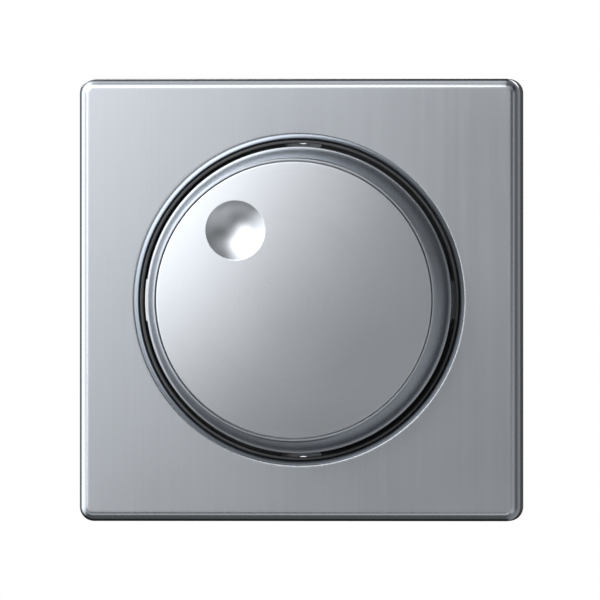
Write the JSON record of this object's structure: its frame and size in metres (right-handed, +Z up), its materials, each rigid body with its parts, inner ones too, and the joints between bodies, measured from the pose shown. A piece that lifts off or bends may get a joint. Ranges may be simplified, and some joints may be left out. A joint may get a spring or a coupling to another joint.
{
  "type": "rotary dimmer switch",
  "caption": "Flush rotary dimmer switch: square satin metal faceplate with a large round knob that turns to dim and presses to switch, on a wall-box insert with claws.",
  "frame": {"origin": "midway between the two box-screw holes, on the back face of the support ring, which lies on the wall", "axes": "+Z up the wall, +Y into the wall, so that the face looks along -Y, and +X to the user's right"},
  "size_m": [0.08, 0.044, 0.08],
  "materials": {
    "satin_aluminium": "satin anodised",
    "anthracite_plastic": "fine moulded",
    "black_plastic": "fine moulded",
    "grey_thermoset": "moulded",
    "zinc_plated_steel": "bright zinc",
    "spring_steel": "rolled",
    "turned_steel": "turned",
    "brass": "machined",
    "carbon_track": "printed film",
    "phenolic": "moulded",
    "board_laminate": "lacquered laminate",
    "ferrite": "sintered",
    "enamelled_copper": "lacquered wire",
    "capacitor_case": "moulded case",
    "fuse_glass": "clear with metal caps",
    "extruded_aluminium": "mill finish",
    "epoxy_black": "moulded epoxy",
    "resistor_lacquer": "lacquered",
    "natural_nylon": "moulded"
  },
  "bodies": {
    "insert": {"faceplate": "satin_aluminium", "plate_carrier": "anthracite_plastic", "threaded_bush": "brass", "fixing_nut": "zinc_plated_steel", "lock_washer": "zinc_plated_steel", "support_ring": "zinc_plated_steel", "housing_cover": "grey_thermoset", "base_housing": "grey_thermoset", "housing_screws": "zinc_plated_steel", "pot_case": "phenolic", "pot_track": "carbon_track", "circuit_board": "board_laminate", "fuse": "fuse_glass", "fuse_clips": "brass", "choke_core": "ferrite", "choke_winding": "enamelled_copper", "film_capacitor": "capacitor_case", "heat_sink": "extruded_aluminium", "heat_sink_screw": "zinc_plated_steel", "triac": "epoxy_black", "resistors": "resistor_lacquer", "switch_case": "black_plastic", "return_spring": "spring_steel", "fixed_contacts": "brass", "terminal_cages": "brass", "terminal_screws": "zinc_plated_steel", "claw_screws": "zinc_plated_steel"},
    "rotor": {"pot_rotor": "natural_nylon", "wiper_contact": "brass"},
    "knob": {"knob_skirt": "satin_aluminium", "knob_disc": "satin_aluminium", "knob_core": "black_plastic", "hub_spring": "spring_steel", "spindle": "turned_steel", "spindle_clip": "spring_steel"},
    "plunger": {"switch_plunger": "natural_nylon", "contact_bridge": "brass"},
    "left_nut": {"claw_nut_left": "zinc_plated_steel"},
    "left_claw": {"claw_left": "zinc_plated_steel"},
    "right_nut": {"claw_nut_right": "zinc_plated_steel"},
    "right_claw": {"claw_right": "zinc_plated_steel"}
  },
  "joints": [
    {"name": "knob_turn", "type": "hinge", "parent": "insert", "child": "rotor", "pos_m": [0, 0, 0], "axis": [0, -1, 0], "range_deg": [-175, 95]},
    {"name": "knob_push", "type": "slide", "parent": "rotor", "child": "knob", "axis": [0, 1, 0], "range_m": [0, 0.0012], "stiffness_N_per_m": 1500, "springref_m": -0.001},
    {"name": "plunger_slide", "type": "slide", "parent": "insert", "child": "plunger", "axis": [0, 1, 0], "range_m": [0, 0.0012], "deforming": ["return_spring"]},
    {"name": "claw_nut_left_slide", "type": "slide", "parent": "insert", "child": "left_nut", "axis": [0, -1, 0], "range_m": [0, 0.008]},
    {"name": "claw_left_swing", "type": "hinge", "parent": "left_nut", "child": "left_claw", "pos_m": [-0.0246, 0.0165, 0], "axis": [0, 0, 1], "range_deg": [0, 30]},
    {"name": "claw_nut_right_slide", "type": "slide", "parent": "insert", "child": "right_nut", "axis": [0, -1, 0], "range_m": [0, 0.008]},
    {"name": "claw_right_swing", "type": "hinge", "parent": "right_nut", "child": "right_claw", "pos_m": [0.0246, 0.0165, 0], "axis": [0, 0, -1], "range_deg": [0, 30]}
  ],
  "couplings": [
    {"joint": "plunger_slide", "follows": "knob_push", "ratio": 1},
    {"joint": "claw_left_swing", "follows": "claw_nut_left_slide", "rad_per_m": 65.4},
    {"joint": "claw_right_swing", "follows": "claw_nut_right_slide", "rad_per_m": 65.4}
  ]
}
